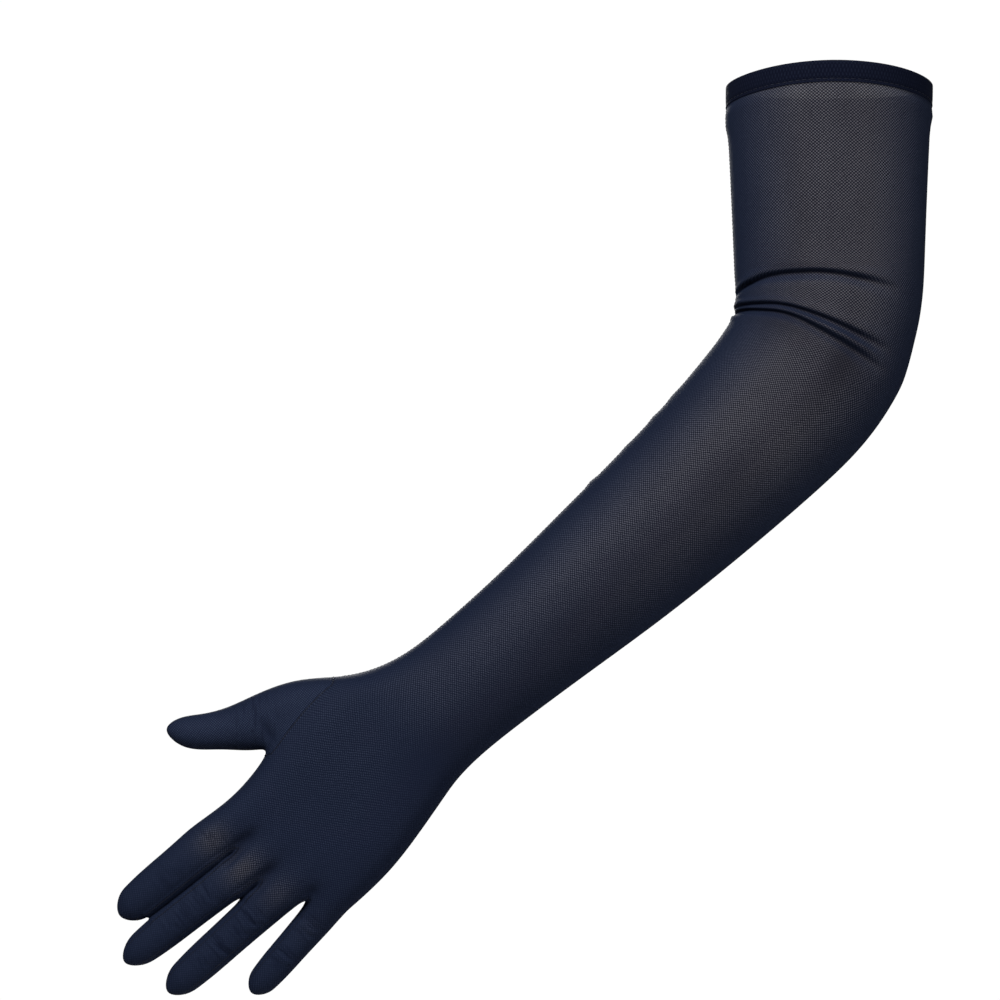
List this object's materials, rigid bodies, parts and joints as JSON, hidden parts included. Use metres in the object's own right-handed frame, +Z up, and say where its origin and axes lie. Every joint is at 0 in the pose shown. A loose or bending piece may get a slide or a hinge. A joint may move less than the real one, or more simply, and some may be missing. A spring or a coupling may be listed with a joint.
{
  "type": "long tulle glove",
  "caption": "Full-length sheer stretch tulle dress glove for the left hand, worn on a bent arm, with a folded hem, a set-in thumb and finger gussets.",
  "frame": {"origin": "middle of the top opening, in the mean plane of the hem's upper edge", "axes": "+Z up out of the opening along the upper arm, -Y towards the viewer on the back of the hand, -X towards the side the forearm and hand run to"},
  "size_m": [0.3669, 0.0872, 0.4171],
  "materials": {
    "tulle": "sheer navy stretch mesh",
    "hem_tulle": "doubled navy stretch mesh, stitched"
  },
  "bodies": {
    "root": {"glove_body": "tulle", "thumb": "tulle", "fourchette_index_middle": "tulle", "fourchette_middle_ring": "tulle", "fourchette_ring_little": "tulle", "top_hem": "hem_tulle"}
  },
  "joints": []
}
